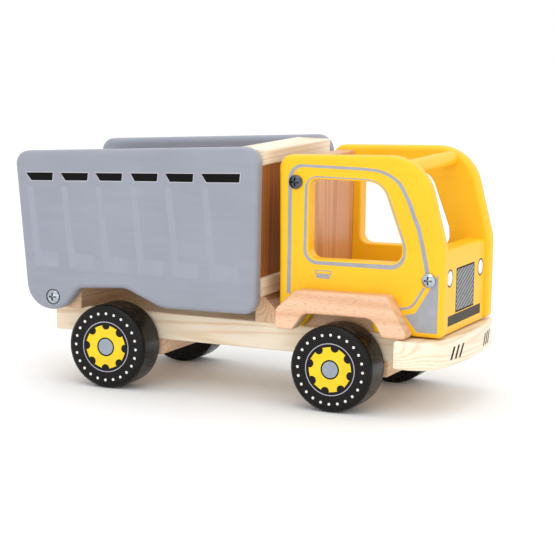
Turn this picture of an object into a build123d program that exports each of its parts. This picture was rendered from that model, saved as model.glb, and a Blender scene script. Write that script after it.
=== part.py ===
from build123d import *
import os

# Toy dump truck made of wood.  +X is the front, +Y the left side, +Z up.
# The origin is on the ground, under the middle of the truck.  Millimetres.

# overall
LENGTH = 245.0
WIDTH = 110.0
HEIGHT = 133.0
GLUE_GAP = 0.05              # radial glue line round a dowel or a screw
RUNNING_GAP = 0.08           # radial play of a part that turns on a pin
SIDE_GAP = 0.3               # room between the bed's sides and what they swing past
CUT_PAST = 1.0               # how far a cutting tool runs past the face it opens

# wheels and axles
WHEEL_RADIUS = 22.5
WHEEL_WIDTH = 20.0
WHEEL_OUTER_ROUND = 3.0
WHEEL_INNER_ROUND = 1.5
REAR_AXLE_X = -65.5
FRONT_AXLE_X = 63.5
AXLE_RADIUS = 2.9            # its top stays 0.1 under the chassis, so it turns freely
AXLE_BORE_DEPTH = 14.0

# chassis
CHASSIS_REAR_X = -107.5
CHASSIS_HALF_WIDTH = 33.5
CHASSIS_BOTTOM = 25.5
CHASSIS_TOP = 40.0
WOOD_EDGE = 0.8              # broken edges of bare wood
AXLE_BLOCK_HALF_LENGTH = 23.5
AXLE_BLOCK_BOTTOM = 17.1

# bumper
BUMPER_REAR_X = 97.0
BUMPER_HALF_WIDTH = 53.0
BUMPER_CORNER_RADIUS = 16.0
BUMPER_BOW = 7.0             # how far the front bows out between its two sides
BUMPER_EDGE = 1.5

# pivot of the bed
PIVOT_X = -98.6
PIVOT_Z = 46.7
PIVOT_BLOCK_FRONT_X = -86.3
PIVOT_BLOCK_TOP = 52.8
PIVOT_BLOCK_ROUND = 6.5      # lets the bed floor swing past the block

# bed
BED_INNER = 44.4
BED_PANEL = 9.0
BED_FRONT_X = 20.2
BED_EDGE_ROUND = 3.0
BED_REAR_CORNER_X = -123.42  # the sharp corners, which their rounding takes back
BED_FRONT_CORNER_Z = HEIGHT + 0.65
BED_FLOOR_BOTTOM = 55.0
BED_FLOOR_TOP = 64.5
BED_WALL_REAR_X = 9.0
BED_WALL_FRONT_X = 17.5
WALL_HOUSING = 1.0           # depth of the groove that the front wall stands in
RAIL_REAR_X = 0.4
RAIL_BOTTOM = 123.5
RAIL_TOP = 131.3
REST_BLOCK_REAR_X = 12.0
REST_BLOCK_FRONT_X = 24.0
REST_BLOCK_TOP = 54.5
REST_BLOCK_CHAMFER = 8.0

# tailgate
TAILGATE_REAR_X = -116.0
TAILGATE_THICKNESS = 8.0
TAILGATE_BOTTOM = 56.3
TAILGATE_TOP = 117.5
TAILGATE_PIN_Z = 112.1
TAILGATE_SIDE_GAP = 0.6
FLOOR_TAILGATE_GAP = 0.5
TAILGATE_PIN_RADIUS = 2.0
TAILGATE_PIN_IN_PANEL = 6.0
TAILGATE_PIN_IN_GATE = 8.0

# cab
CAB_INNER = 32.0
CAB_PANEL = 9.0
CAB_REAR_X = 26.6
CAB_REAR_FOOT_X = 28.6       # the rear edge leans forward towards its foot
CAB_EDGE_ROUND = 2.5
CAB_WINDOW_ROUND = 1.0
CAB_BOTTOM = 40.8
REAR_WALL_REAR_X = 31.0
REAR_WALL_FRONT_X = 40.0
REAR_WALL_TOP = 127.0
CAB_BASE_TOP = 51.4
FRONT_BLOCK_REAR_X = 104.0
FRONT_BLOCK_FRONT_X = 116.0
FRONT_BLOCK_TOP = 84.2
FRONT_BLOCK_ROUND = 3.0
CROSS_BAR_X = 95.0
CROSS_BAR_Z = 125.6
CROSS_BAR_RADIUS = 4.0
CROSS_BAR_IN_PANEL = 5.0
FENDER_THICKNESS = 10.3
FENDER_EDGE = 1.2

# fasteners
PAN_HEAD_RADIUS = 3.6
PAN_HEAD_RIM = 1.0
PAN_HEAD_HEIGHT = 2.2
SCREW_RADIUS = 1.9
SCREW_TIP = 2.5
SCREW_TIP_RADIUS = 0.6
FLAT_HEAD_RADIUS = 3.6
RECESS_LENGTH = 4.2
RECESS_WIDTH = 1.0
RECESS_DEPTH = 1.1
DOWEL_RADIUS = 3.0
DOWEL_IN_PANEL = 6.0
DOWEL_IN_BOARD = 12.0
FENDER_DOWEL_RADIUS = 2.5
FENDER_DOWEL_DEPTH = 5.0
FENDER_DOWEL_IN_CAB = 2.5

CAB_OUTER = CAB_INNER + CAB_PANEL
BED_OUTER = BED_INNER + BED_PANEL
WHEEL_OUTER = WIDTH / 2
FRONT_X = LENGTH / 2
AXLES_X = (REAR_AXLE_X, FRONT_AXLE_X)
TAILGATE_PIN_X = TAILGATE_REAR_X + TAILGATE_THICKNESS / 2

# outlines seen from the side: (x, z, corner radius)
BED_OUTLINE = [
    (BED_REAR_CORNER_X, 123.8, 7.0),
    (-114.0, 39.5, 14.5),
    (-92.9, 39.5, 14.5),
    (-83.5, 52.3, 5.0),
    (-55.8, 54.3, 10.0),
    (-34.5, 45.5, 20.0),
    (BED_FRONT_X, 46.4, 7.0),
    (BED_FRONT_X, BED_FRONT_CORNER_Z, 9.0),
]
CAB_OUTLINE = [
    (CAB_REAR_X, 129.2, 7.0),
    (CAB_REAR_FOOT_X, CAB_BOTTOM, 2.5),
    (41.5, CAB_BOTTOM, 2.5),
    (49.5, 51.4, 5.0),
    (78.0, 51.4, 6.0),
    (81.0, CAB_BOTTOM, 2.5),
    (118.2, CAB_BOTTOM, 3.0),
    (118.2, 84.9, 25.0),
    (105.2, 132.6, 24.0),
]
CAB_WINDOW = [
    (44.0, 117.8, 4.5),
    (44.2, 76.5, 5.0),
    (95.6, 77.7, 6.0),
    (95.1, 88.4, 10.0),
    (83.6, 118.2, 11.0),
]
FENDER_OUTLINE = [
    (30.6, 40.5, 2.0),
    (30.6, 50.6, 3.0),
    (41.4, 61.0, 5.0),
    (91.4, 61.9, 2.5),
    (103.7, 40.5, 2.0),
    (89.5, 40.5, 2.0),
    (84.2, 49.9, 8.0),
    (46.4, 49.5, 6.0),
    (40.4, 40.5, 2.0),
]


def box_between(x_pair, y_pair, z_pair):
    """A box given by its lowest and highest x, y and z."""
    sizes = [high - low for low, high in (x_pair, y_pair, z_pair)]
    middle = [(low + high) / 2 for low, high in (x_pair, y_pair, z_pair)]
    return Pos(*middle) * Box(*sizes)


def outline_face(points, y):
    """A flat face with rounded corners, standing in the plane at this y."""
    corners = [(x, z) for x, z, _ in points]
    radii = [radius for _, _, radius in points]
    with BuildSketch(Plane.XZ.offset(-y)) as sketch:
        with BuildLine():
            FilletPolyline(*corners, radius=radii, close=True)
        make_face()
    return sketch.sketch


def board(points, y_from, thickness, edge):
    """A board cut to an outline, standing from y_from towards -Y, with rounded edges."""
    solid = extrude(outline_face(points, y_from), amount=thickness)
    faces = solid.faces().filter_by(Axis.Y)
    return fillet(faces.edges(), edge)


def bar_y(x, z, radius, y_pair):
    """A round bar along Y."""
    middle = (y_pair[0] + y_pair[1]) / 2
    length = y_pair[1] - y_pair[0]
    return Pos(x, middle, z) * Rot(90, 0, 0) * Cylinder(radius, length)


def bar_x(y, z, radius, x_pair):
    """A round bar along X."""
    middle = (x_pair[0] + x_pair[1]) / 2
    length = x_pair[1] - x_pair[0]
    return Pos(middle, y, z) * Rot(0, 90, 0) * Cylinder(radius, length)


def pan_screw(length):
    """A pan head screw pointing down -Z, its head standing on the plane z = 0."""
    shank = Pos(0, 0, -(length - SCREW_TIP) / 2) * Cylinder(SCREW_RADIUS, length - SCREW_TIP)
    tip = Pos(0, 0, -length + SCREW_TIP / 2) * Cone(SCREW_TIP_RADIUS, SCREW_RADIUS, SCREW_TIP)
    rim = Pos(0, 0, PAN_HEAD_RIM / 2) * Cylinder(PAN_HEAD_RADIUS, PAN_HEAD_RIM)
    dome_height = PAN_HEAD_HEIGHT - PAN_HEAD_RIM
    ball_radius = (PAN_HEAD_RADIUS ** 2 + dome_height ** 2) / (2 * dome_height)
    ball = Pos(0, 0, PAN_HEAD_HEIGHT - ball_radius) * Sphere(ball_radius)
    dome = ball & (Pos(0, 0, PAN_HEAD_RIM + dome_height) * Cylinder(PAN_HEAD_RADIUS, 2 * dome_height))
    return shank + tip + rim + dome - cross_recess(PAN_HEAD_HEIGHT)


def cross_recess(top):
    """The cross cut into a screw head whose top is at this height."""
    slots = Box(RECESS_LENGTH, RECESS_WIDTH, 2 * RECESS_DEPTH) + Box(
        RECESS_WIDTH, RECESS_LENGTH, 2 * RECESS_DEPTH)
    return Pos(0, 0, top) * slots


def flat_screw(length):
    """A countersunk wood screw pointing up +Z, its flat head flush with the plane z = 0."""
    head_height = FLAT_HEAD_RADIUS - SCREW_RADIUS
    head = Pos(0, 0, head_height / 2) * Cone(FLAT_HEAD_RADIUS, SCREW_RADIUS, head_height)
    shank_length = length - head_height - SCREW_TIP
    shank = Pos(0, 0, head_height + shank_length / 2) * Cylinder(SCREW_RADIUS, shank_length)
    tip = Pos(0, 0, length - SCREW_TIP / 2) * Cone(SCREW_RADIUS, SCREW_TIP_RADIUS, SCREW_TIP)
    return head + shank + tip - cross_recess(0)


def flat_screw_hole(length):
    """The hole for a countersunk screw, a glue line larger all round."""
    radius = SCREW_RADIUS + GLUE_GAP
    head_height = FLAT_HEAD_RADIUS - SCREW_RADIUS
    sink = Pos(0, 0, head_height / 2) * Cone(
        FLAT_HEAD_RADIUS + GLUE_GAP, radius, head_height)
    depth = length + CUT_PAST
    return sink + Pos(0, 0, depth / 2) * Cylinder(radius, depth)


def both_sides(shape):
    """The shape and its mirror image on the other side of the truck."""
    return [shape, mirror(shape, about=Plane.XZ)]


def group(shapes):
    """Separate solids kept together as one sub-part."""
    return Compound(children=list(shapes))


def save(name, shape):
    """Write one sub-part."""
    shape.label = name
    export_step(shape, f"parts/{name}.step")


# ---------------------------------------------------------------- places of the fasteners

CAB_SCREWS = {"rear": (36.7, 115.8), "front": (110.5, 70.3)}
CAB_SCREW_LENGTH = 26.0
PIVOT_SCREW_LENGTH = 26.0
PIVOT_SINK_RADIUS = 4.3
PIVOT_SINK_DEPTH = 1.4
PIVOT_HEAD_GAP = 0.3
BLOCK_SCREW_OFFSET = 14.0
BLOCK_SCREW_LENGTH = 19.0
UPRIGHT_SCREW_LENGTH = 24.0
UPRIGHT_SCREWS = {
    "pivot_block_screws": [(-96.7, -13.0), (-96.7, 13.0)],
    "bed_rest_screws": [(18.0, -18.0), (18.0, 18.0)],
    "cab_base_screws": [(34.0, 0.0), (92.0, 0.0)],
}
AXLE_BLOCK_SCREWS = [(x + side * BLOCK_SCREW_OFFSET, 0) for x in AXLES_X for side in (-1, 1)]
BUMPER_DOWELS_Y = (-18.0, 18.0)
BUMPER_DOWEL_HALF = 14.0
BUMPER_DOWEL_Z = (CHASSIS_BOTTOM + CHASSIS_TOP) / 2
FLOOR_DOWELS_X = (-97.0, -45.0, 6.0)
FLOOR_DOWEL_Z = (BED_FLOOR_BOTTOM + BED_FLOOR_TOP) / 2
RAIL_DOWELS_X = (5.5, 15.0)
RAIL_DOWEL_Z = (RAIL_BOTTOM + RAIL_TOP) / 2
RAIL_DOWEL_RADIUS = 2.0
CAB_DOWELS = ((35.5, 46.2), (97.0, 46.2))
FENDER_DOWELS = ((37.5, 52.3), (92.5, 54.8))


def dowels(radius, places, y_pair):
    """Dowels along Y at each (x, z), on the right side and on the left."""
    right = [bar_y(x, z, radius, (-y_pair[1], -y_pair[0])) for x, z in places]
    return [solid for one in right for solid in both_sides(one)]


def dowel_holes(radius, places, y_pair):
    """The holes for those dowels, a glue line larger all round."""
    return dowels(radius + GLUE_GAP, places, (y_pair[0] - GLUE_GAP, y_pair[1] + GLUE_GAP))


def cut(solid, tools):
    """The solid with each tool taken away."""
    for tool in tools:
        solid = solid - tool
    return solid


FLOOR_DOWEL_PLACES = [(x, FLOOR_DOWEL_Z) for x in FLOOR_DOWELS_X]
FLOOR_DOWEL_Y = (BED_INNER - DOWEL_IN_BOARD, BED_INNER + DOWEL_IN_PANEL)
RAIL_DOWEL_PLACES = [(x, RAIL_DOWEL_Z) for x in RAIL_DOWELS_X]
CAB_DOWEL_Y = (CAB_INNER - DOWEL_IN_BOARD, CAB_INNER + DOWEL_IN_PANEL)
FENDER_DOWEL_Y = (CAB_OUTER - FENDER_DOWEL_IN_CAB, CAB_OUTER + FENDER_DOWEL_DEPTH)
TAILGATE_PIN_PLACE = [(TAILGATE_PIN_X, TAILGATE_PIN_Z)]
TAILGATE_PIN_Y = (BED_INNER - TAILGATE_PIN_IN_GATE, BED_INNER + TAILGATE_PIN_IN_PANEL)
CROSS_BAR_Y = (-CAB_INNER - CROSS_BAR_IN_PANEL, CAB_INNER + CROSS_BAR_IN_PANEL)


# ---------------------------------------------------------------- chassis

def chassis_screw_holes():
    """Holes for the screws that go up through the chassis into the blocks on it."""
    hole = flat_screw_hole(UPRIGHT_SCREW_LENGTH)
    return [Pos(x, y, CHASSIS_BOTTOM) * hole for places in UPRIGHT_SCREWS.values() for x, y in places]


def axle_block_screw_holes():
    """Holes for the screws that go up through the axle blocks into the chassis."""
    hole = flat_screw_hole(BLOCK_SCREW_LENGTH)
    return [Pos(x, y, AXLE_BLOCK_BOTTOM) * hole for x, y in AXLE_BLOCK_SCREWS]


def bumper_dowel_bars(radius, half_length):
    """The two dowels between the chassis and the bumper."""
    span = (BUMPER_REAR_X - half_length, BUMPER_REAR_X + half_length)
    return [bar_x(y, BUMPER_DOWEL_Z, radius, span) for y in BUMPER_DOWELS_Y]


def chassis_board():
    """The long plank that carries everything."""
    width = (-CHASSIS_HALF_WIDTH, CHASSIS_HALF_WIDTH)
    plank = box_between((CHASSIS_REAR_X, BUMPER_REAR_X), width, (CHASSIS_BOTTOM, CHASSIS_TOP))
    plank = fillet(plank.edges().filter_by(Axis.X), WOOD_EDGE)
    holes = chassis_screw_holes() + axle_block_screw_holes()
    holes += bumper_dowel_bars(DOWEL_RADIUS + GLUE_GAP, BUMPER_DOWEL_HALF + GLUE_GAP)
    return cut(plank, holes)


def bumper():
    """The bowed front plank, wider than the chassis, with large rounded corners."""
    side_x = FRONT_X - BUMPER_BOW
    half = BUMPER_HALF_WIDTH
    with BuildPart() as plank:
        with BuildSketch(Plane.XY.offset(CHASSIS_BOTTOM)) as plan:
            with BuildLine():
                Line((side_x, half), (BUMPER_REAR_X, half))
                Line((BUMPER_REAR_X, half), (BUMPER_REAR_X, -half))
                Line((BUMPER_REAR_X, -half), (side_x, -half))
                ThreePointArc((side_x, -half), (FRONT_X, 0), (side_x, half))
            make_face()
            front_corners = plan.vertices().group_by(Axis.X)[-1]
            fillet(front_corners, BUMPER_CORNER_RADIUS)
        extrude(amount=CHASSIS_TOP - CHASSIS_BOTTOM)
        rims = plank.faces().filter_by(Axis.Z).edges()
        fillet(rims, BUMPER_EDGE)
    return cut(plank.part, bumper_dowel_bars(DOWEL_RADIUS + GLUE_GAP, BUMPER_DOWEL_HALF + GLUE_GAP))


def axle_block(axle_x):
    """The block under the chassis whose groove holds an axle."""
    length = (axle_x - AXLE_BLOCK_HALF_LENGTH, axle_x + AXLE_BLOCK_HALF_LENGTH)
    width = (-CHASSIS_HALF_WIDTH, CHASSIS_HALF_WIDTH)
    block = box_between(length, width, (AXLE_BLOCK_BOTTOM, CHASSIS_BOTTOM))
    block = fillet(block.edges().filter_by(Axis.Y).group_by(Axis.Z)[0], WOOD_EDGE)
    bore = AXLE_RADIUS + RUNNING_GAP
    groove = bar_y(axle_x, WHEEL_RADIUS, bore, width)
    groove += box_between((axle_x - bore, axle_x + bore), width, (WHEEL_RADIUS, CHASSIS_BOTTOM))
    return cut(block, [groove] + axle_block_screw_holes())


def axle(axle_x):
    """The dowel that joins the two wheels of a pair."""
    end = WHEEL_OUTER - WHEEL_WIDTH + AXLE_BORE_DEPTH
    return bar_y(axle_x, WHEEL_RADIUS, AXLE_RADIUS, (-end, end))


def right_wheel(axle_x):
    """A solid wooden wheel on the right side, bored from inside for its axle."""
    wheel = Rot(90, 0, 0) * Cylinder(WHEEL_RADIUS, WHEEL_WIDTH)
    rims = wheel.edges().group_by(Axis.Y)
    wheel = fillet(rims[0], WHEEL_OUTER_ROUND)
    wheel = fillet(wheel.edges().group_by(Axis.Y)[-1], WHEEL_INNER_ROUND)
    wheel = Pos(axle_x, -WHEEL_OUTER + WHEEL_WIDTH / 2, WHEEL_RADIUS) * wheel
    inner = -WHEEL_OUTER + WHEEL_WIDTH
    bore = bar_y(axle_x, WHEEL_RADIUS, AXLE_RADIUS + GLUE_GAP,
                 (inner - AXLE_BORE_DEPTH - GLUE_GAP, inner))
    return wheel - bore


# ---------------------------------------------------------------- blocks on the chassis

def pivot_screw_bars(radius):
    """The shanks of the two screws that the bed tips on."""
    inner_end = BED_OUTER - PIVOT_SINK_DEPTH + PIVOT_HEAD_GAP - PIVOT_SCREW_LENGTH
    return both_sides(bar_y(PIVOT_X, PIVOT_Z, radius, (-BED_OUTER, -inner_end)))


def pivot_block():
    """The block across the rear of the chassis that the bed is hinged to."""
    width = (-BED_INNER + SIDE_GAP, BED_INNER - SIDE_GAP)
    block = box_between((CHASSIS_REAR_X, PIVOT_BLOCK_FRONT_X), width, (CHASSIS_TOP, PIVOT_BLOCK_TOP))
    rear_top = block.edges().filter_by(Axis.Y).group_by(Axis.X)[0].group_by(Axis.Z)[-1]
    block = fillet(rear_top, PIVOT_BLOCK_ROUND)
    return cut(block, pivot_screw_bars(SCREW_RADIUS + GLUE_GAP) + chassis_screw_holes())


def bed_rest_block():
    """The block that the front of the lowered bed lies on, sloping down to the front."""
    width = (-CHASSIS_HALF_WIDTH, CHASSIS_HALF_WIDTH)
    block = box_between((REST_BLOCK_REAR_X, REST_BLOCK_FRONT_X), width, (CHASSIS_TOP, REST_BLOCK_TOP))
    front_top = block.edges().filter_by(Axis.Y).group_by(Axis.X)[-1].group_by(Axis.Z)[-1]
    block = chamfer(front_top, REST_BLOCK_CHAMFER)
    return cut(block, chassis_screw_holes())


def cab_base_block():
    """The thick board inside the foot of the cab."""
    length = (REAR_WALL_REAR_X, FRONT_BLOCK_REAR_X)
    block = box_between(length, (-CAB_INNER, CAB_INNER), (CHASSIS_TOP, CAB_BASE_TOP))
    return cut(block, chassis_screw_holes() + dowel_holes(DOWEL_RADIUS, CAB_DOWELS, CAB_DOWEL_Y))


# ---------------------------------------------------------------- cab

def cab_screw_bars(radius, place):
    """The shanks of the two cab screws at one place."""
    x, z = CAB_SCREWS[place]
    return both_sides(bar_y(x, z, radius, (-CAB_OUTER, -CAB_OUTER + CAB_SCREW_LENGTH + CUT_PAST)))


def right_cab_panel():
    """The side of the cab, with its window, the wheel arch and the sloping windscreen edge."""
    panel = board(CAB_OUTLINE, -CAB_INNER, CAB_PANEL, CAB_EDGE_ROUND)
    window = extrude(outline_face(CAB_WINDOW, -CAB_INNER), amount=CAB_PANEL)
    panel = panel - window
    rims = [edge for face in panel.faces().filter_by(Axis.Y)
            for wire in face.inner_wires() for edge in wire.edges()]
    panel = fillet(rims, CAB_WINDOW_ROUND)
    holes = dowel_holes(DOWEL_RADIUS, CAB_DOWELS, CAB_DOWEL_Y)
    holes += dowel_holes(FENDER_DOWEL_RADIUS, FENDER_DOWELS, FENDER_DOWEL_Y)
    holes += [bar_y(CROSS_BAR_X, CROSS_BAR_Z, CROSS_BAR_RADIUS + GLUE_GAP, CROSS_BAR_Y)]
    for place in CAB_SCREWS:
        holes += cab_screw_bars(SCREW_RADIUS + GLUE_GAP, place)
    return cut(panel, holes)


def cab_rear_wall():
    """The upright board at the back of the cab."""
    wall = box_between((REAR_WALL_REAR_X, REAR_WALL_FRONT_X), (-CAB_INNER, CAB_INNER),
                       (CAB_BASE_TOP, REAR_WALL_TOP))
    wall = fillet(wall.edges().filter_by(Axis.Y).group_by(Axis.Z)[-1], WOOD_EDGE)
    return cut(wall, cab_screw_bars(SCREW_RADIUS + GLUE_GAP, "rear"))


def cab_front_block():
    """The painted front of the cab, under the windscreen."""
    block = box_between((FRONT_BLOCK_REAR_X, FRONT_BLOCK_FRONT_X), (-CAB_INNER, CAB_INNER),
                        (CAB_BOTTOM, FRONT_BLOCK_TOP))
    block = fillet(block.edges().filter_by(Axis.Y).group_by(Axis.Z)[-1], FRONT_BLOCK_ROUND)
    block = fillet(block.edges().filter_by(Axis.Y).group_by(Axis.Z)[0], WOOD_EDGE)
    return cut(block, cab_screw_bars(SCREW_RADIUS + GLUE_GAP, "front"))


def cab_cross_bar():
    """The round bar over the windscreen."""
    return bar_y(CROSS_BAR_X, CROSS_BAR_Z, CROSS_BAR_RADIUS, CROSS_BAR_Y)


def right_fender():
    """The arched wheel guard on the outside of the cab."""
    fender = board(FENDER_OUTLINE, -CAB_OUTER, FENDER_THICKNESS, FENDER_EDGE)
    return cut(fender, dowel_holes(FENDER_DOWEL_RADIUS, FENDER_DOWELS, FENDER_DOWEL_Y))


# ---------------------------------------------------------------- bed

def right_bed_panel():
    """The side of the bed, with the lobe it tips on and the arch over the rear wheel."""
    panel = board(BED_OUTLINE, -BED_INNER, BED_PANEL, BED_EDGE_ROUND)
    sink = bar_y(PIVOT_X, PIVOT_Z, PIVOT_SINK_RADIUS,
                 (-BED_OUTER - CUT_PAST, -BED_OUTER + PIVOT_SINK_DEPTH))
    holes = [sink] + pivot_screw_bars(SCREW_RADIUS + RUNNING_GAP)
    holes += dowel_holes(DOWEL_RADIUS, FLOOR_DOWEL_PLACES, FLOOR_DOWEL_Y)
    holes += dowel_holes(RAIL_DOWEL_RADIUS, RAIL_DOWEL_PLACES, FLOOR_DOWEL_Y)
    holes += dowel_holes(TAILGATE_PIN_RADIUS, TAILGATE_PIN_PLACE, TAILGATE_PIN_Y)
    return cut(panel, holes)


def bed_board(x_pair, z_pair, dowel_radius, places):
    """A board between the bed's sides, with holes for its dowels."""
    plank = box_between(x_pair, (-BED_INNER, BED_INNER), z_pair)
    plank = fillet(plank.edges().filter_by(Axis.Y), WOOD_EDGE)
    return cut(plank, dowel_holes(dowel_radius, places, FLOOR_DOWEL_Y))


def bed_front_wall():
    """The board between the bed and the cab, standing in its groove in the floor."""
    return bed_board((BED_WALL_REAR_X, BED_WALL_FRONT_X), (BED_FLOOR_TOP - WALL_HOUSING, RAIL_BOTTOM),
                     DOWEL_RADIUS, [])


def bed_floor():
    """The thick floor, which runs from the tailgate to just past the front wall."""
    rear_x = TAILGATE_REAR_X + TAILGATE_THICKNESS + FLOOR_TAILGATE_GAP
    floor = bed_board((rear_x, BED_FRONT_X), (BED_FLOOR_BOTTOM, BED_FLOOR_TOP),
                      DOWEL_RADIUS, FLOOR_DOWEL_PLACES)
    groove = box_between((BED_WALL_REAR_X, BED_WALL_FRONT_X), (-BED_INNER, BED_INNER),
                         (BED_FLOOR_TOP - WALL_HOUSING, BED_FLOOR_TOP + CUT_PAST))
    return floor - groove


def tailgate():
    """The flap that hangs from two pins and closes the rear of the bed."""
    half_width = BED_INNER - TAILGATE_SIDE_GAP
    flap = box_between((TAILGATE_REAR_X, TAILGATE_REAR_X + TAILGATE_THICKNESS),
                       (-half_width, half_width), (TAILGATE_BOTTOM, TAILGATE_TOP))
    flap = fillet(flap.edges().filter_by(Axis.Y), WOOD_EDGE)
    pin_gap = RUNNING_GAP - GLUE_GAP
    holes = dowel_holes(TAILGATE_PIN_RADIUS + pin_gap, TAILGATE_PIN_PLACE, TAILGATE_PIN_Y)
    return cut(flap, holes)


# ---------------------------------------------------------------- fasteners

def screws_in_side(x, z, length, seat):
    """A pan head screw in the right side and its twin in the left, heads outside."""
    right = Pos(x, -seat, z) * Rot(90, 0, 0) * pan_screw(length)
    return both_sides(right)


def screws_from_below(places, z, length):
    """Countersunk screws pointing up, heads flush at this height."""
    return [Pos(x, y, z) * flat_screw(length) for x, y in places]


def write_parts():
    """Build every sub-part and write it."""
    os.makedirs("parts", exist_ok=True)
    save("chassis_board", chassis_board())
    save("bumper", bumper())
    save("bumper_dowels", group(bumper_dowel_bars(DOWEL_RADIUS, BUMPER_DOWEL_HALF)))

    for end, axle_x in zip(("rear", "front"), AXLES_X):
        save(f"{end}_axle_block", axle_block(axle_x))
        save(f"{end}_axle", axle(axle_x))
        for side, wheel in zip(("right", "left"), both_sides(right_wheel(axle_x))):
            save(f"{end}_{side}_wheel", wheel)
    save("axle_block_screws",
         group(screws_from_below(AXLE_BLOCK_SCREWS, AXLE_BLOCK_BOTTOM, BLOCK_SCREW_LENGTH)))

    save("pivot_block", pivot_block())
    save("bed_rest_block", bed_rest_block())
    save("cab_base_block", cab_base_block())
    for name, places in UPRIGHT_SCREWS.items():
        save(name, group(screws_from_below(places, CHASSIS_BOTTOM, UPRIGHT_SCREW_LENGTH)))

    for side, panel, fender in zip(("right", "left"), both_sides(right_cab_panel()),
                                   both_sides(right_fender())):
        save(f"cab_{side}_panel", panel)
        save(f"{side}_fender", fender)
    save("cab_rear_wall", cab_rear_wall())
    save("cab_front_block", cab_front_block())
    save("cab_cross_bar", cab_cross_bar())
    save("cab_dowels", group(dowels(DOWEL_RADIUS, CAB_DOWELS, CAB_DOWEL_Y)))
    save("fender_dowels", group(dowels(FENDER_DOWEL_RADIUS, FENDER_DOWELS, FENDER_DOWEL_Y)))
    for place, (x, z) in CAB_SCREWS.items():
        save(f"cab_{place}_screws", group(screws_in_side(x, z, CAB_SCREW_LENGTH, CAB_OUTER)))

    for side, panel in zip(("right", "left"), both_sides(right_bed_panel())):
        save(f"bed_{side}_panel", panel)
    save("bed_floor", bed_floor())
    save("bed_front_wall", bed_front_wall())
    save("bed_top_rail", bed_board((RAIL_REAR_X, BED_FRONT_X), (RAIL_BOTTOM, RAIL_TOP),
                                   RAIL_DOWEL_RADIUS, RAIL_DOWEL_PLACES))
    save("bed_floor_dowels", group(dowels(DOWEL_RADIUS, FLOOR_DOWEL_PLACES, FLOOR_DOWEL_Y)))
    save("bed_rail_dowels", group(dowels(RAIL_DOWEL_RADIUS, RAIL_DOWEL_PLACES, FLOOR_DOWEL_Y)))
    save("tailgate", tailgate())
    save("tailgate_pins",
         group(dowels(TAILGATE_PIN_RADIUS, TAILGATE_PIN_PLACE, TAILGATE_PIN_Y)))
    seat = BED_OUTER - PIVOT_SINK_DEPTH + PIVOT_HEAD_GAP
    save("bed_pivot_screws", group(screws_in_side(PIVOT_X, PIVOT_Z, PIVOT_SCREW_LENGTH, seat)))


write_parts()
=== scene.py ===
import math
import bpy
import bmesh
from mathutils import Matrix, Vector


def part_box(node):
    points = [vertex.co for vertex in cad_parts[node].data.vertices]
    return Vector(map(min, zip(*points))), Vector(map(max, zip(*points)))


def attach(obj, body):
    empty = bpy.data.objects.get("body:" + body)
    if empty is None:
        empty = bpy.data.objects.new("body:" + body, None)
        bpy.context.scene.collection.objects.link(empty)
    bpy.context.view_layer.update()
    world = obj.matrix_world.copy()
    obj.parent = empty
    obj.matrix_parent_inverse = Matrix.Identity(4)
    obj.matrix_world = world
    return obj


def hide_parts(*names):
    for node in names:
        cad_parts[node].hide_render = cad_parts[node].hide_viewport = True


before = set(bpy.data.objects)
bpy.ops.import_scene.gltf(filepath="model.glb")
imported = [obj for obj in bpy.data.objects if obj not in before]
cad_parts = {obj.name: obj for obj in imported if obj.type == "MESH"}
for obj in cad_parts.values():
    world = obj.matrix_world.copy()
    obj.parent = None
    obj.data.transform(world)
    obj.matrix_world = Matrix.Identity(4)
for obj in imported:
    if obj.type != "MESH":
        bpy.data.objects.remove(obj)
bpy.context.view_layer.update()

# Toy dump truck.  Metres, +X front, +Y left, +Z up.  Print layouts below are in millimetres.
MM = 0.001
PROUD = 0.05                 # how far a print stands off the paint
SUNK = 0.03                  # how far it reaches into it
ARC_STEP = math.radians(7)

# texture layout and limits shared by the materials
EVEN = (1, 1, 1)
NO_SHIFT = (0.0, 0.0, 0.0)
WOOD_STRETCH = 0.03          # scale along the grain against across it
PAINT_STRETCH = 0.06
FLECK_STRETCH = 0.16
SHARPEST_EDGE = 0.75         # bevelled and true normals' dot product on a full edge
# bevel reach that places the painted edge highlight, on wood and on paint
WOOD_EDGE_HIGHLIGHT = 0.0006
PAINT_EDGE_HIGHLIGHT = 0.0007
RECESS_SHADE = 0.0016        # reach of the shading in hollows such as a screw's cross


# ---------------------------------------------------------------- node helpers

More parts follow.
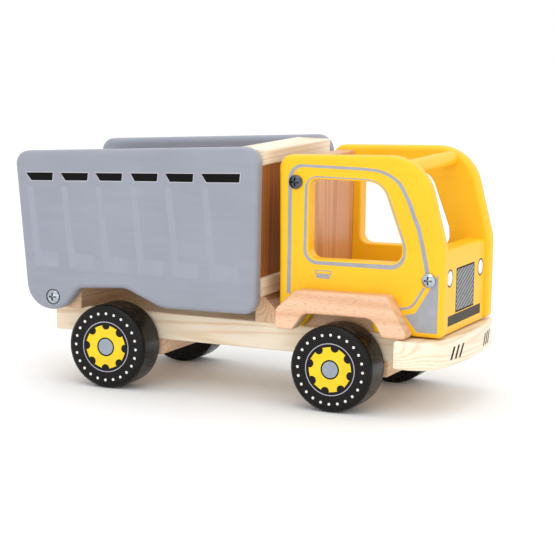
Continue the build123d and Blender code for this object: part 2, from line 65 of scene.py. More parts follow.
class Graph:
    """A material's node tree, with short calls for the nodes used here."""

    def __init__(self, name):
        self.mat = bpy.data.materials.new(name)
        self.mat.use_nodes = True
        self.tree = self.mat.node_tree
        self.shader = self.tree.nodes["Principled BSDF"]
        self.coord = self.tree.nodes.new("ShaderNodeTexCoord")

    def put(self, value, socket):
        if isinstance(value, bpy.types.NodeSocket):
            self.tree.links.new(value, socket)
        else:
            socket.default_value = value

    def math(self, kind, a, b=0.0):
        node = self.tree.nodes.new("ShaderNodeMath")
        node.operation = kind
        self.put(a, node.inputs[0])
        self.put(b, node.inputs[1])
        return node.outputs[0]

    def place(self, scale=EVEN, shift=NO_SHIFT):
        node = self.tree.nodes.new("ShaderNodeMapping")
        node.inputs["Scale"].default_value = scale
        node.inputs["Location"].default_value = shift
        self.put(self.coord.outputs["Object"], node.inputs["Vector"])
        return node.outputs[0]

    def noise(self, vector, scale, detail=3.0, rough=0.5):
        node = self.tree.nodes.new("ShaderNodeTexNoise")
        self.put(vector, node.inputs["Vector"])
        node.inputs["Scale"].default_value = scale
        node.inputs["Detail"].default_value = detail
        node.inputs["Roughness"].default_value = rough
        return node.outputs["Fac"]

    def ramp(self, fac, stops):
        node = self.tree.nodes.new("ShaderNodeValToRGB")
        ramp = node.color_ramp
        while len(ramp.elements) < len(stops):
            ramp.elements.new(0.5)
        for element, (at, colour) in zip(ramp.elements, stops):
            element.position = at
            element.color = linear(colour)
        self.put(fac, node.inputs[0])
        return node.outputs[0]

    def scale_range(self, value, low, high, to_low, to_high):
        node = self.tree.nodes.new("ShaderNodeMapRange")
        self.put(value, node.inputs[0])
        for i, number in enumerate((low, high, to_low, to_high), 1):
            node.inputs[i].default_value = number
        return node.outputs[0]

    def mix(self, fac, a, b):
        node = self.tree.nodes.new("ShaderNodeMix")
        node.data_type = "RGBA"
        self.put(fac, node.inputs[0])
        self.put(a, node.inputs[6])
        self.put(b, node.inputs[7])
        return node.outputs[2]

    def edge(self, radius):
        """0 on flat faces and up to 1 on edges, from a bevelled normal."""
        bevel = self.tree.nodes.new("ShaderNodeBevel")
        bevel.samples = 4
        bevel.inputs["Radius"].default_value = radius
        plain = self.tree.nodes.new("ShaderNodeNewGeometry")
        dot = self.tree.nodes.new("ShaderNodeVectorMath")
        dot.operation = "DOT_PRODUCT"
        self.tree.links.new(bevel.outputs[0], dot.inputs[0])
        self.tree.links.new(plain.outputs["True Normal"], dot.inputs[1])
        return self.scale_range(dot.outputs["Value"], 1.0, SHARPEST_EDGE, 0.0, 1.0)

    def bump(self, height, strength, distance):
        node = self.tree.nodes.new("ShaderNodeBump")
        node.inputs["Strength"].default_value = strength
        node.inputs["Distance"].default_value = distance
        self.put(height, node.inputs["Height"])
        self.tree.links.new(node.outputs[0], self.shader.inputs["Normal"])

    def finish(self, colour, rough):
        self.put(colour, self.shader.inputs["Base Color"])
        self.put(rough, self.shader.inputs["Roughness"])
        return self.mat


def linear(colour):
    """An sRGB colour of 0 to 255 as the linear colour that nodes take."""
    shares = [c / 255 for c in colour]
    return tuple(c / 12.92 if c <= 0.04045 else ((c + 0.055) / 1.055) ** 2.4
                 for c in shares) + (1.0,)


def scaled(colour, share):
    """A colour made darker or lighter, never past white."""
    return [min(255, c * share) for c in colour]


def along(grain, stretch):
    """A texture scale drawn out along one axis."""
    return tuple(stretch if axis == grain else 1 for axis in "XYZ")


def wood(name, tones, grain, rings, flecks=0.0, coat=0.25, shift=NO_SHIFT):
    """Planed wood: growth rings stretched along the grain, fibres and short flecks, and a painted
    highlight on its edges.
    """
    g = Graph(name)
    drawn = g.place(along(grain, WOOD_STRETCH), shift)
    wave = g.noise(drawn, 24.0, 1.5, 0.4)
    ring = g.math("SINE", g.math("MULTIPLY", wave, rings))
    ring = g.scale_range(ring, -0.2, 1.0, 1.0, 0.0)
    fibres = g.noise(drawn, 900.0, 3.0, 0.65)
    cloud = g.noise(g.place(EVEN, shift), 16.0, 2.0, 0.5)
    tone = g.math("ADD", g.math("MULTIPLY", ring, 0.26), g.math("MULTIPLY", fibres, 0.5))
    tone = g.math("ADD", tone, g.math("MULTIPLY", cloud, 0.40))
    tone = g.scale_range(tone, 0.20, 0.90, 0.0, 1.0)
    dark, middle, light = tones
    colour = g.ramp(tone, [(0.0, dark), (0.5, middle), (1.0, light)])
    if flecks:
        spots = g.noise(g.place(along(grain, FLECK_STRETCH), shift), 2300.0, 1.0, 0.4)
        mask = g.scale_range(spots, 0.54, 0.72, 0.0, flecks)
        colour = g.mix(mask, colour, linear(scaled(dark, 0.80)))
    # painted highlight: edges mixed towards the light wood tone
    lit_edge = g.edge(WOOD_EDGE_HIGHLIGHT)
    colour = g.mix(g.math("MULTIPLY", lit_edge, 0.22), colour, linear(light))
    rough = g.scale_range(fibres, 0.3, 0.7, 0.42, 0.58)
    g.bump(g.math("ADD", fibres, g.math("MULTIPLY", ring, 0.35)), 0.35, 0.00018)
    g.shader.inputs["Coat Weight"].default_value = coat
    g.shader.inputs["Coat Roughness"].default_value = 0.28
    return g.finish(colour, rough)


def paint(name, colour, low, high, vary, edge_highlight_tone, coat, shine):
    """Opaque paint on wood: orange peel, grain showing through as relief, and a patchy painted
    highlight on edges.
    """
    g = Graph(name)
    cloud = g.noise(g.place(), 26.0, 3.0, 0.5)
    fine = g.noise(g.place(), 900.0, 2.0, 0.5)
    through = g.noise(g.place(along("X", PAINT_STRETCH)), 420.0, 2.0, 0.55)
    tone = g.ramp(cloud, [(0.3, scaled(colour, 1 - vary)), (0.7, scaled(colour, 1 + vary))])
    tone = g.mix(g.scale_range(through, 0.35, 0.75, 0.0, 0.10), tone, linear(scaled(colour, 0.8)))
    # painted highlight: edges mixed towards a lighter tone, patchy along them
    lit_edge = g.edge(PAINT_EDGE_HIGHLIGHT)
    highlight_patch = g.scale_range(g.noise(g.place(), 140.0, 3.0, 0.6), 0.35, 0.65, 0.15, 0.5)
    tone = g.mix(g.math("MULTIPLY", lit_edge, highlight_patch), tone, linear(edge_highlight_tone))
    rough = g.scale_range(fine, 0.3, 0.7, low, high)
    height = g.math("ADD", g.math("MULTIPLY", fine, 0.5), through)
    g.bump(height, 0.22, 0.00012)
    g.shader.inputs["Specular IOR Level"].default_value = shine
    g.shader.inputs["Coat Weight"].default_value = coat
    g.shader.inputs["Coat Roughness"].default_value = 0.22
    return g.finish(tone, rough)


def metal(name, colour, low, high):
    """Plated steel with fine turning marks and slight tarnish, and painted shade in hollows."""
    g = Graph(name)
    cloud = g.noise(g.place(), 420.0, 3.0, 0.6)
    marks = g.noise(g.place((1, 0.2, 1)), 2600.0, 2.0, 0.6)
    tone = g.ramp(cloud, [(0.3, scaled(colour, 0.82)), (0.7, colour)])
    # painted shade: darker wherever ambient occlusion finds a hollow, such as a screw's cross
    shade = g.tree.nodes.new("ShaderNodeAmbientOcclusion")
    shade.samples = 8
    shade.inputs["Distance"].default_value = RECESS_SHADE
    tone = g.mix(g.scale_range(shade.outputs["AO"], 0.45, 0.95, 0.85, 0.0), tone,
                 linear(scaled(colour, 0.22)))
    rough = g.scale_range(marks, 0.3, 0.7, low, high)
    g.bump(marks, 0.18, 0.00006)
    g.shader.inputs["Metallic"].default_value = 1.0
    return g.finish(tone, rough)


def ink(name, colour, rough=0.5, vary=0.03, shine=0.35):
    """Printed ink: even, with a faint screen texture."""
    g = Graph(name)
    cloud = g.noise(g.place(), 160.0, 3.0, 0.5)
    fine = g.noise(g.place(), 2200.0, 1.0, 0.5)
    tone = g.ramp(cloud, [(0.3, scaled(colour, 1 - vary)), (0.7, scaled(colour, 1 + vary))])
    g.bump(fine, 0.15, 0.00004)
    g.shader.inputs["Specular IOR Level"].default_value = shine
    return g.finish(tone, g.scale_range(fine, 0.3, 0.7, rough - 0.05, rough + 0.06))


PINE = ((214, 178, 134), (244, 224, 194), (252, 240, 220))
WARM = ((204, 148, 108), (232, 184, 146), (242, 204, 170))
BEECH = ((190, 142, 102), (222, 180, 140), (236, 202, 168))
REAR = ((176, 116, 70), (212, 156, 106), (230, 182, 136))
BROWN = ((120, 62, 16), (172, 104, 36), (206, 138, 62))
MATS = {
    "chassis": wood("wood_chassis", PINE, "X", 260.0),
    "bumper": wood("wood_bumper", PINE, "Y", 250.0, 0.0, 0.3, (0.3, 0.1, 0.2)),
    "fender": wood("wood_fender", WARM, "X", 90.0, 0.45, 0.3, (0.7, 0.2, 0.4)),
    "rail": wood("wood_rail", PINE, "Y", 230.0, 0.0, 0.3, (0.1, 0.6, 0.3)),
    "rest": wood("wood_rest", BEECH, "Y", 260.0, 0.35, 0.2, (0.5, 0.3, 0.8)),
    "block": wood("wood_block", BEECH, "X", 240.0, 0.35, 0.2, (0.9, 0.2, 0.1)),
    "rear": wood("wood_rear_wall", REAR, "Z", 300.0, 0.2, 0.25, (0.2, 0.9, 0.5)),
    "wall": wood("wood_front_wall", BROWN, "Z", 240.0, 0.2, 0.2, (0.4, 0.4, 0.9)),
    "dowel": wood("wood_dowel", BEECH, "Y", 180.0, 0.3, 0.15, (0.8, 0.8, 0.2)),
    # the tone after each paint colour is its painted edge highlight
    "yellow": paint("paint_yellow", (253, 196, 18), 0.40, 0.50, 0.02, (255, 218, 80), 0.12, 0.35),
    "grey": paint("paint_grey", (148, 152, 164), 0.38, 0.48, 0.02, (180, 183, 192), 0.15, 0.4),
    "black": paint("paint_black", (11, 9, 8), 0.24, 0.36, 0.15, (64, 50, 40), 0.16, 0.15),
    "steel": metal("steel_bright", (196, 206, 214), 0.16, 0.28),
    # painted shade: a darker copy of the same screw steel, used for the cab's rear screws
    "shaded_steel": metal("steel_painted_shade", (98, 102, 110), 0.14, 0.26),
    "ink_grey": ink("ink_grey", (160, 163, 170)),
    "ink_black": ink("ink_black", (12, 11, 12), 0.5, 0.1, 0.1),
    "ink_line": ink("ink_line", (64, 56, 50), 0.5, 0.05, 0.2),
    "ink_pale": ink("ink_pale", (186, 187, 192)),
    "ink_white": ink("ink_white", (236, 236, 232)),
    "ink_silver": ink("ink_silver", (176, 178, 182), 0.32),
    "ink_lilac": ink("ink_lilac", (176, 172, 186)),
    "ink_yellow": ink("ink_yellow", (238, 206, 30)),
    "ink_hub": ink("ink_hub", (150, 160, 172)),
    "ink_stripe": ink("ink_stripe", (40, 33, 30), 0.5, 0.08, 0.15),
    "ink_rib": ink("ink_rib", (153, 157, 169), 0.46, 0.01),
}


# ---------------------------------------------------------------- finishes of the CAD parts

FINISH = {
    "chassis_board": ("chassis", "pine"), "bumper": ("bumper", "pine"),
    "bumper_dowels": ("dowel", "dowel_wood"),
    "front_axle_block": ("block", "beech"), "rear_axle_block": ("block", "beech"),
    "front_axle": ("dowel", "dowel_wood"), "rear_axle": ("dowel", "dowel_wood"),
    "pivot_block": ("rest", "beech"), "bed_rest_block": ("rest", "beech"),
    "cab_base_block": ("block", "beech"),
    "cab_right_panel": ("yellow", "yellow_paint"), "cab_left_panel": ("yellow", "yellow_paint"),
    "cab_front_block": ("yellow", "yellow_paint"), "cab_cross_bar": ("yellow", "yellow_paint"),
    "cab_rear_wall": ("rear", "plywood"),
    "right_fender": ("fender", "beech"), "left_fender": ("fender", "beech"),
    "bed_right_panel": ("grey", "grey_paint"), "bed_left_panel": ("grey", "grey_paint"),
    "bed_floor": ("rail", "plywood"), "bed_front_wall": ("wall", "plywood"),
    "bed_top_rail": ("rail", "beech"), "tailgate": ("grey", "grey_paint"),
    "tailgate_pins": ("dowel", "dowel_wood"), "bed_floor_dowels": ("dowel", "dowel_wood"),
    "bed_rail_dowels": ("dowel", "dowel_wood"), "cab_dowels": ("dowel", "dowel_wood"),
    "fender_dowels": ("dowel", "dowel_wood"),
    "cab_rear_screws": ("shaded_steel", "screw_steel"), "cab_front_screws": ("steel", "screw_steel"),
    "bed_pivot_screws": ("steel", "screw_steel"),
}


def finish_cad_nodes():
    """Every CAD node gets its finish."""
    for name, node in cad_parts.items():
        if name.endswith("_wheel"):
            finish, slot = "black", "black_paint"
        else:
            finish, slot = FINISH.get(name, ("steel", "screw_steel"))
        node.data.materials.clear()
        node.data.materials.append(MATS[finish])


finish_cad_nodes()


# ---------------------------------------------------------------- outlines

def rounded(points):
    """A closed outline of (u, v, radius) corners as points along it."""
    path = []
    count = len(points)
    for i, (x, y, radius) in enumerate(points):
        here = Vector((x, y))
        before = (Vector(points[i - 1][:2]) - here).normalized()
        after = (Vector(points[(i + 1) % count][:2]) - here).normalized()
        half = before.angle(after) / 2
        if radius < 0.01 or half > math.radians(89.5):
            path.append(here)
            continue
        centre = here + (before + after).normalized() * (radius / math.sin(half))
        start = here + before * (radius / math.tan(half)) - centre
        sweep = math.pi - 2 * half
        turn = -1 if before.x * after.y - before.y * after.x > 0 else 1
        steps = max(2, math.ceil(sweep / ARC_STEP))
        for k in range(steps + 1):
            angle = turn * sweep * k / steps
            c, s = math.cos(angle), math.sin(angle)
            path.append(centre + Vector((start.x * c - start.y * s, start.x * s + start.y * c)))
    return path


def ribbon(centre, widths):
    """The closed outline of a line with a width at each of its points."""
    left, right = [], []
    last = len(centre) - 1
    for i, here in enumerate(centre):
        way = (centre[min(i + 1, last)] - centre[max(i - 1, 0)]).normalized()
        across = Vector((-way.y, way.x)) * (widths[i] / 2)
        left.append(here + across)
        right.append(here - across)
    return left + right[::-1]


def circle(x, y, radius, steps=40):
    """A full circle as an outline."""
    return [Vector((x + radius * math.cos(math.tau * k / steps),
                    y + radius * math.sin(math.tau * k / steps))) for k in range(steps)]


def clipped(polygon, low, high):
    """A convex polygon cut to a rectangle."""
    for axis, limit, keep_above in ((0, low[0], True), (0, high[0], False),
                                    (1, low[1], True), (1, high[1], False)):
        result = []
        for i, b in enumerate(polygon):
            a = polygon[i - 1]
            a_in = (a[axis] >= limit) == keep_above or a[axis] == limit
            b_in = (b[axis] >= limit) == keep_above or b[axis] == limit
            if a_in != b_in:
                result.append(a.lerp(b, (limit - a[axis]) / (b[axis] - a[axis])))
            if b_in:
                result.append(b)
        polygon = result
        if not polygon:
            return []
    return polygon


def area(outline):
    """The area inside an outline, negative where it runs clockwise."""
    return sum(a.x * b.y - b.x * a.y for a, b in zip(outline, outline[1:] + outline[:1])) / 2


# ---------------------------------------------------------------- prints

def prism(bm, outer, holes, lay, low, high):
    """A closed thin plate with an outline and holes. lay(u, v, height) gives its place."""
    rings = [outer if area(outer) > 0 else outer[::-1]]
    rings += [hole if area(hole) < 0 else hole[::-1] for hole in holes]
    flat = bmesh.new()
    edges = []
    order = []
    for ring in rings:
        made = [flat.verts.new((p.x, p.y, 0)) for p in ring]
        order.append(made)
        edges += [flat.edges.new((a, b)) for a, b in zip(made, made[1:] + made[:1])]
    bmesh.ops.triangle_fill(flat, edges=edges, use_beauty=True)
    flat.verts.index_update()
    tops = [bm.verts.new(lay(v.co.x, v.co.y, high)) for v in flat.verts]
    bottoms = [bm.verts.new(lay(v.co.x, v.co.y, low)) for v in flat.verts]
    for face in flat.faces:
        ids = [v.index for v in face.verts]
        bm.faces.new([tops[i] for i in ids])
        bm.faces.new([bottoms[i] for i in reversed(ids)])
    for made in order:
        ids = [v.index for v in made]
        for a, b in zip(ids, ids[1:] + ids[:1]):
            bm.faces.new([tops[a], tops[b], bottoms[b], bottoms[a]])
    flat.free()


def print_piece(name, shapes, lay, body, material, slot, low=-SUNK, high=PROUD):
    """One printed piece made of several (outline, holes) shapes."""
    bm = bmesh.new()
    for outer, holes in shapes:
        prism(bm, outer, holes, lay, low, high)
    bmesh.ops.recalc_face_normals(bm, faces=bm.faces)
    mesh = bpy.data.meshes.new(name)
    bm.to_mesh(mesh)
    bm.free()
    piece = bpy.data.objects.new(name, mesh)
    bpy.context.scene.collection.objects.link(piece)
    mesh.materials.append(MATS[material])
    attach(piece, body)


def side_lay(side, depth_mm):
    """Layout on an outside face: u along X, v up, standing off to that side."""
    return lambda u, v, h: Vector((u, side * (depth_mm + h), v)) * MM


def front_lay(face_x):
    """Layout on a front face: u along Y, v up."""
    return lambda u, v, h: Vector((face_x + h, u, v)) * MM


def face_of(node, side):
    """How far a node's outer face is from the middle plane, in millimetres."""
    low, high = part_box(node)
    return abs((high if side > 0 else low)[1]) / MM


# places on the cab's side as (x, z), with a corner radius where there is a third number
BAND_OUTSIDE = [(41.6, 119.5, 7), (41.6, 73.9, 7.5), (97.7, 74.3, 8.5), (97.6, 87.0, 11),
                (84.7, 119.6, 13)]
BAND_INSIDE = [(43.1, 118.7, 5.4), (43.3, 75.6, 5.9), (96.5, 76.8, 6.9), (96.0, 88.6, 10.9),
               (84.3, 119.1, 11.9)]
DOOR_FRONT = [(92.4, 119.1), (95, 115.8), (97, 112.3), (98.8, 108.9), (100.2, 105.5),
              (101.6, 101.9), (104.0, 96.6), (105.6, 90.6), (107.5, 83.1), (109.6, 73.4)]
DOOR_TOP = [(74.0, 124.5), (81.5, 124.0), (87.5, 122.2)]
DOOR_REAR = [(33.9, 57.7), (33.8, 83.0), (33.5, 101.0), (33.5, 117.4)]
DOOR_CORNER = (40.5, 117.4)  # centre of the corner's arc
DOOR_CORNER_RADIUS = 7.0
DOOR_ROOF = (60.0, 124.5)
HANDLE_BAR = ((49.2, 66.9), (56.6, 68.8))
HANDLE_BOX = ((48.5, 68.9), (57.5, 71.2))
HANDLE_BOX_INSIDE = ((49.1, 69.4), (56.9, 70.7))
LOWER_LINE = [(108.0, 66.4), (101.9, 56.7), (95.5, 54.6)]
LOWER_LINE_WIDTH = 1.3
CORNER_FILL = [(115.6, 74.2, 0), (110.7, 65.1, 2), (103.6, 53.0, 2), (97.8, 51.7, 0),
               (104.6, 43.4, 0), (115.6, 43.4, 0)]
# each bed window's top rear, top front and bottom rear corner
BED_WINDOWS = [
    ((-115.5, 112.8), (-99.0, 113.7), (-112.1, 108.8)),
    ((-94.4, 113.8), (-77.8, 114.7), (-91.4, 109.9)),
    ((-73.4, 114.9), (-57.4, 115.7), (-70.6, 111.0)),
    ((-52.5, 116.0), (-36.6, 116.8), (-50.0, 112.0)),
    ((-32.2, 117.1), (-15.9, 117.9), (-29.5, 112.9)),
    ((-11.5, 118.2), (10.7, 119.4), (-8.4, 113.9)),
]
WINDOW_EDGE = 0.42
WINDOW_GAP = 0.02
RIB_REACH = 3.7              # how far a rib's foot goes past its window
RIB_END = 10.5
RIB_TOP_DROP = 3.0
RIB_FOOT_Z = (63.0, 71.0)


def rectangle(low, high):
    """A rectangle between two corners."""
    return [Vector(low), Vector((high[0], low[1])), Vector(high), Vector((low[0], high[1]))]


def grown(outline, amount):
    """The outline of a convex shape moved outward by this much."""
    middle = sum(outline, Vector((0, 0))) / len(outline)
    return [p + Vector((math.copysign(amount, p.x - middle.x),
                        math.copysign(amount, p.y - middle.y))) for p in outline]


def smooth_line(points, steps=6):
    """A Catmull-Rom line through the points."""
    pts = [Vector(p) for p in points]
    ends = [pts[0] * 2 - pts[1]] + pts + [pts[-1] * 2 - pts[-2]]
    line = []
    for a, b, c, d in zip(ends, ends[1:], ends[2:], ends[3:]):
        for k in range(steps):
            t = k / steps
            line.append(0.5 * (2 * b + (c - a) * t + (2 * a - 5 * b + 4 * c - d) * t * t
                               + (3 * b - a - 3 * c + d) * t ** 3))
    return line + [pts[-1]]


def arc_points(centre, radius, start, end, steps):
    """Points along an arc between two angles in degrees."""
    return [Vector((centre[0] + radius * math.cos(math.radians(start + (end - start) * k / steps)),
                    centre[1] + radius * math.sin(math.radians(start + (end - start) * k / steps))))
            for k in range(steps + 1)]


def share_between(value, low, high):
    """0 at low, 1 at high and straight between them."""
    return max(0.0, min(1.0, (value - low) / (high - low)))


def door_line():
    """The door's outline: up the rear edge, over the top and down the windscreen side."""
    up = [Vector(p) for p in DOOR_REAR]
    corner = arc_points(DOOR_CORNER, DOOR_CORNER_RADIUS, 180, 90, 8)[1:]
    centre = up + corner + [Vector(DOOR_ROOF)] + smooth_line(DOOR_TOP + DOOR_FRONT)
    widths = []
    for p in centre:
        if p.x < 40:
            widths.append(2.1 - 0.6 * share_between(p.x, 33.6, 39.6))
        else:
            widths.append(1.45 + 0.85 * share_between(p.x, 84, 104))
    return ribbon(centre, widths)


def slanted(window):
    """The four corners of a bed window: its rear end slopes and its front end is upright."""
    top_left, top_right, bottom_left = (Vector(p) for p in window)
    end_x = top_right.x - 0.4
    climb = (top_right.y - top_left.y) / (top_right.x - top_left.x)
    bottom_right = Vector((end_x, bottom_left.y + climb * (end_x - bottom_left.x)))
    return [bottom_left, bottom_right, top_right, top_left]


def bed_rib(window):
    """The faint L under a window: a slanted strip down, and a foot that reaches forward."""
    left = window[2][0]
    right = min(window[1][0] + RIB_REACH, RIB_END)
    top = window[2][1] - RIB_TOP_DROP
    low, foot = RIB_FOOT_Z
    return [Vector((left - 2.8, top)), Vector((left + 0.9, top)), Vector((left + 6.0, foot)),
            Vector((right, foot)), Vector((right, low)), Vector((left + 2.6, low))]


SIDES = ((-1, "right"), (1, "left"))
for side, word in SIDES:
    cab = side_lay(side, face_of(f"cab_{word}_panel", side))
    bed = side_lay(side, face_of(f"bed_{word}_panel", side))
    print_piece(f"cab_{word}_window_band", [(rounded(BAND_OUTSIDE), [rounded(BAND_INSIDE)])],
                cab, "truck", "ink_grey", "grey_paint")
    print_piece(f"cab_{word}_door_line", [(door_line(), [])],
                cab, "truck", "ink_grey", "grey_paint")
    print_piece(f"cab_{word}_handle",
                [(rectangle(*HANDLE_BAR), []),
                 (rectangle(*HANDLE_BOX), [rectangle(*HANDLE_BOX_INSIDE)])],
                cab, "truck", "ink_grey", "grey_paint")
    lower = smooth_line(LOWER_LINE)
    print_piece(f"cab_{word}_lower_line",
                [(ribbon(lower, [LOWER_LINE_WIDTH] * len(lower)), [])],
                cab, "truck", "ink_grey", "grey_paint")
    print_piece(f"cab_{word}_corner", [(rounded(CORNER_FILL), [])],
                cab, "truck", "ink_grey", "grey_paint")
    windows = [slanted(w) for w in BED_WINDOWS]
    print_piece(f"bed_{word}_windows", [(w, []) for w in windows], bed, "bed",
                "ink_black", "black_paint")
    print_piece(f"bed_{word}_window_edges",
                [(grown(w, WINDOW_EDGE), [grown(w, WINDOW_GAP)]) for w in windows],
                bed, "bed", "ink_pale", "grey_paint")
    print_piece(f"bed_{word}_ribs", [(bed_rib(w), []) for w in BED_WINDOWS], bed, "bed",
                "ink_rib", "grey_paint", -SUNK, PROUD * 0.6)


# ---------------------------------------------------------------- wheel prints

# the end, its body, and how far its gear is turned in degrees
WHEELS = [("front", "front_wheels", 12.0), ("rear", "rear_wheels", 0.0)]
DOTS = 24
DOT_RING = 17.9
DOT_RADIUS = 0.74
LINE_RING = 13.4
LINE_RING_WIDTH = 0.45
GEAR_RADIUS = 11.6
NOTCH_RADIUS = 2.3
NOTCHES = 8
GEAR_HOLE = 5.1
HUB_RADIUS = 4.3


def ring(radius, width, steps=72):
    """A ring as an outline with a hole."""
    return circle(0, 0, radius + width / 2, steps), [circle(0, 0, radius - width / 2, steps)]


def gear_outline(turn):
    """A disc with semicircular notches, one of them at this many degrees clockwise of the top."""
    points = []
    half = math.asin(NOTCH_RADIUS / GEAR_RADIUS)
    for k in range(NOTCHES):
        middle = math.radians(90 - turn) + math.tau * k / NOTCHES
        notch = Vector((math.cos(middle), math.sin(middle))) * GEAR_RADIUS
        for j in range(9):
            angle = middle - math.pi / 2 - math.pi * j / 8
            points.append(notch + Vector((math.cos(angle), math.sin(angle))) * NOTCH_RADIUS)
        span = math.tau / NOTCHES - 2 * half
        for j in range(1, 8):
            angle = middle + half + span * j / 8
            points.append(Vector((math.cos(angle), math.sin(angle))) * GEAR_RADIUS)
    return points


RECESS = 0.08                # depth of the printed area, which keeps the print inside the wheel
RECESS_RADIUS = 19.0
RECESS_WALL = 0.15           # how far the recess's edge slopes
WHEEL_OUTER_ROUND = 3.0
WHEEL_INNER_ROUND = 1.5
BORE_RADIUS = 2.95
BORE_DEPTH = 14.05
LATHE_STEPS = 128
SHARP = math.radians(28)     # edges past this stay sharp


def wheel_profile(radius, width):
    """(radius, depth from the outer face) round one half of a wheel's section."""
    profile = [(RECESS_RADIUS - RECESS_WALL, RECESS), (RECESS_RADIUS, 0.0)]
    for k in range(13):
        angle = math.pi / 2 * k / 12
        profile.append((radius - WHEEL_OUTER_ROUND * (1 - math.sin(angle)),
                        WHEEL_OUTER_ROUND * (1 - math.cos(angle))))
    for k in range(9):
        angle = math.pi / 2 * k / 8
        profile.append((radius - WHEEL_INNER_ROUND * (1 - math.cos(angle)),
                        width - WHEEL_INNER_ROUND * (1 - math.sin(angle))))
    return profile + [(BORE_RADIUS, width), (BORE_RADIUS, width - BORE_DEPTH)]


def lathed_wheel(name, node, body, side):
    """A wheel turned about its axle, standing for the CAD node."""
    low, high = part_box(node)
    x, z = (low[0] + high[0]) / 2 / MM, (low[2] + high[2]) / 2 / MM
    radius = (high[2] - low[2]) / 2 / MM
    outer, inner = face_of(node, side), abs((low if side > 0 else high)[1]) / MM
    bm = bmesh.new()
    centre_out = bm.verts.new(Vector((x, side * (outer - RECESS), z)) * MM)
    centre_in = bm.verts.new(Vector((x, side * (inner + BORE_DEPTH), z)) * MM)
    rows = []
    for k in range(LATHE_STEPS):
        c, s = math.cos(math.tau * k / LATHE_STEPS), math.sin(math.tau * k / LATHE_STEPS)
        rows.append([bm.verts.new(Vector((x + r * c, side * (outer - d), z + r * s)) * MM)
                     for r, d in wheel_profile(radius, outer - inner)])
    for here, after in zip(rows, rows[1:] + rows[:1]):
        bm.faces.new((centre_out, here[0], after[0]))
        bm.faces.new((centre_in, after[-1], here[-1]))
        for a, b, c, d in zip(here, here[1:], after[1:], after):
            bm.faces.new((a, b, c, d))
    bmesh.ops.recalc_face_normals(bm, faces=bm.faces)
    for face in bm.faces:
        face.smooth = True
    for edge in bm.edges:
        if len(edge.link_faces) == 2:
            edge.smooth = edge.calc_face_angle() < SHARP
    mesh = bpy.data.meshes.new(name)
    bm.to_mesh(mesh)
    bm.free()
    wheel = bpy.data.objects.new(name, mesh)
    bpy.context.scene.collection.objects.link(wheel)
    mesh.materials.append(MATS["black"])
    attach(wheel, body)
    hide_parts(node)


def wheel_lay(x, z, side, face):
    """Layout on a wheel's outer face, from its centre."""
    return lambda u, v, h: Vector((x + u, side * (face + h), z + v)) * MM


for end, body, turn in WHEELS:
    for side, word in SIDES:
        low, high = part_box(f"{end}_{word}_wheel")
        x = (low[0] + high[0]) / 2 / MM
        z = (low[2] + high[2]) / 2 / MM
        face = face_of(f"{end}_{word}_wheel", side)
        lay = wheel_lay(x, z, side, face - RECESS)
        lathed_wheel(f"{end}_{word}_turned_wheel", f"{end}_{word}_wheel", body, side)
        dots = [(circle(*(Vector((math.cos(a), math.sin(a))) * DOT_RING), DOT_RADIUS, 14), [])
                for a in (math.tau * k / DOTS for k in range(DOTS))]
        head = f"{end}_{word}_wheel"
        print_piece(f"{head}_dots", dots, lay, body, "ink_white", "yellow_paint")
        print_piece(f"{head}_ring", [ring(LINE_RING, LINE_RING_WIDTH)],
                    lay, body, "ink_lilac", "grey_paint")
        print_piece(f"{head}_gear", [(gear_outline(turn), [circle(0, 0, GEAR_HOLE)])],
                    lay, body, "ink_yellow", "yellow_paint")
        print_piece(f"{head}_hub", [(circle(0, 0, HUB_RADIUS), [])],
                    lay, body, "ink_hub", "grey_paint")


# ---------------------------------------------------------------- front prints

front = front_lay(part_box("cab_front_block")[1][0] / MM)
LAMP_Y = 24.6
LAMP_Z = 69.7
LAMP_RADIUS = 3.9
LAMP_RIM = (3.92, 4.7)       # inner and outer radius
GRILLE = ((-14.5, 50.6), (14.5, 73.8))
HATCH = ((-13.6, 51.5), (13.6, 72.9))
HATCH_PITCH = 2.3
HATCH_WIDTH = 1.05
SMALLEST_STRIPE = 0.05       # area under which a cut stripe is left out
LOWER_BAR = ((-26, 44.9), (26, 50.1))

lamps = [(circle(s * LAMP_Y, LAMP_Z, LAMP_RADIUS), []) for s in (-1, 1)]
lamp_rims = [(circle(s * LAMP_Y, LAMP_Z, LAMP_RIM[1]), [circle(s * LAMP_Y, LAMP_Z, LAMP_RIM[0])])
             for s in (-1, 1)]
print_piece("front_lamps", lamps, front, "truck", "ink_white", "grey_paint")
print_piece("front_lamp_rims", lamp_rims, front, "truck", "ink_line", "grey_paint")
print_piece("front_grille", [(rectangle(*GRILLE), [])], front, "truck", "ink_black", "grey_paint",
            -SUNK, PROUD * 0.5)


def hatch(low, high, pitch, width, slope):
    """Slanting stripes cut to a rectangle; positive slope climbs with u."""
    stripes = []
    tall = high[1] - low[1]
    run = tall / slope
    u = low[0] - abs(run)
    while u < high[0] + abs(run):
        strip = [Vector((u, low[1])), Vector((u + width, low[1])),
                 Vector((u + width + run, high[1])), Vector((u + run, high[1]))]
        cut = clipped(strip, low, high)
        if len(cut) > 2 and abs(area(cut)) > SMALLEST_STRIPE:
            stripes.append((cut, []))
        u += pitch
    return stripes


print_piece("front_grille_hatch", hatch(*HATCH, HATCH_PITCH, HATCH_WIDTH, -1.0),
            front, "truck", "ink_silver", "grey_paint")
print_piece("front_lower_bar", [(rectangle(*LOWER_BAR), [])],
            front, "truck", "ink_line", "grey_paint")

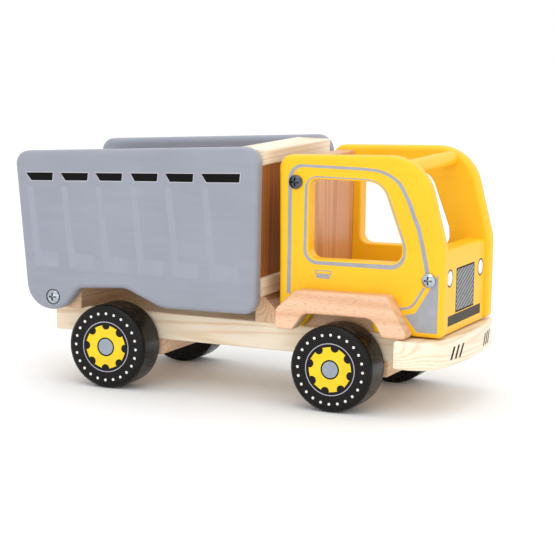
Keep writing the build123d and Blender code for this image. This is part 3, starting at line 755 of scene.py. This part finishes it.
# the bumper's front, x = tip - y squared / spread, and its stripes' (y, z) ends
BOW_TIP = 122.5
BOW_SPREAD = 408.2
STRIPES = [((-30.8, 29.0), (-27.5, 35.4)), ((-25.9, 29.0), (-22.3, 35.7)),
           ((-21.2, 29.0), (-16.7, 35.7))]
STRIPE_WIDTH = 1.9
STRIPE_DEPTH = (-0.15, 0.12)  # how far the stripes reach in and stand off


def bow_lay(u, v, h):
    """Layout on the bumper's bowed front: u along Y, v up."""
    return Vector((BOW_TIP - u * u / BOW_SPREAD + h, u, v)) * MM


def stripe(bottom, top):
    """A slanting stripe with level ends."""
    half = STRIPE_WIDTH / 2
    return [Vector((bottom[0] - half, bottom[1])), Vector((bottom[0] + half, bottom[1])),
            Vector((top[0] + half, top[1])), Vector((top[0] - half, top[1]))]


FAR_SHIFT = 47.5             # the second group leans the same way, so it is moved and not mirrored
near = [(stripe(a, b), []) for a, b in STRIPES]
far = [(stripe((a[0] + FAR_SHIFT, a[1]), (b[0] + FAR_SHIFT, b[1])), []) for a, b in STRIPES]
print_piece("bumper_stripes", near + far, bow_lay, "truck", "ink_stripe", "black_paint",
            *STRIPE_DEPTH)


# ---------------------------------------------------------------- camera, light and floor

AZIMUTH = math.radians(23.45)
ELEVATION = math.radians(8.48)
ROLL = math.radians(1.19)
CAMERA_AT = Vector((0.4646, -1.0489, 0.2292))
LENS = 138.9
SENSOR = 36.0
CLIP = (0.05, 200.0)
FLOOR_HALF = 60.0
LIGHTS_AIM = Vector((0, 0, 0.06))


def add_camera():
    """The camera, from its place, direction, roll and lens."""
    ahead = Vector((-math.sin(AZIMUTH) * math.cos(ELEVATION),
                    math.cos(AZIMUTH) * math.cos(ELEVATION), -math.sin(ELEVATION)))
    right = Vector((math.cos(AZIMUTH), math.sin(AZIMUTH), 0))
    up = right.cross(ahead)
    turned = math.cos(ROLL) * right + math.sin(ROLL) * up
    upward = -math.sin(ROLL) * right + math.cos(ROLL) * up
    data = bpy.data.cameras.new("camera")
    data.lens = LENS
    data.sensor_width = SENSOR
    data.clip_start, data.clip_end = CLIP
    camera = bpy.data.objects.new("camera", data)
    place = Matrix((turned, upward, -ahead)).transposed().to_4x4()
    place.translation = CAMERA_AT
    camera.matrix_world = place
    bpy.context.scene.collection.objects.link(camera)
    bpy.context.scene.camera = camera


def add_light(name, at, size, power):
    """A soft white area light pointed at the middle of the truck."""
    data = bpy.data.lights.new(name, "AREA")
    data.shape = "RECTANGLE"
    data.size, data.size_y = size
    data.energy = power
    lamp = bpy.data.objects.new(name, data)
    lamp.location = at
    aim = LIGHTS_AIM - Vector(at)
    lamp.rotation_euler = aim.to_track_quat("-Z", "Y").to_euler()
    bpy.context.scene.collection.objects.link(lamp)


def add_floor():
    """A wide, plain, pale floor."""
    mesh = bpy.data.meshes.new("floor")
    half = FLOOR_HALF
    mesh.from_pydata([(-half, -half, 0), (half, -half, 0), (half, half, 0), (-half, half, 0)], [],
                     [(0, 1, 2, 3)])
    floor = bpy.data.objects.new("floor", mesh)
    bpy.context.scene.collection.objects.link(floor)
    g = Graph("floor_paper")
    g.bump(g.noise(g.place(), 60.0, 2.0), 0.02, 0.0002)
    mesh.materials.append(g.finish((0.95, 0.95, 0.95, 1.0), 0.75))


def set_world():
    """An even white world, shown with the Standard view."""
    scene = bpy.context.scene
    scene.view_settings.view_transform = "Standard"
    world = bpy.data.worlds.new("world")
    world.use_nodes = True
    background = world.node_tree.nodes["Background"]
    background.inputs["Color"].default_value = (1.0, 1.0, 1.0, 1.0)
    background.inputs["Strength"].default_value = 1.05
    scene.world = world


add_camera()
set_world()
add_light("key", (0.25, -1.1, 1.5), (1.1, 0.9), 3.8)
add_light("front_fill", (1.5, -0.5, 0.8), (0.9, 0.9), 1.2)
add_light("low_fill", (0.2, -1.5, 0.35), (1.6, 0.5), 1.7)
add_light("top", (-0.3, 0.3, 1.7), (1.2, 1.2), 4.0)
add_floor()
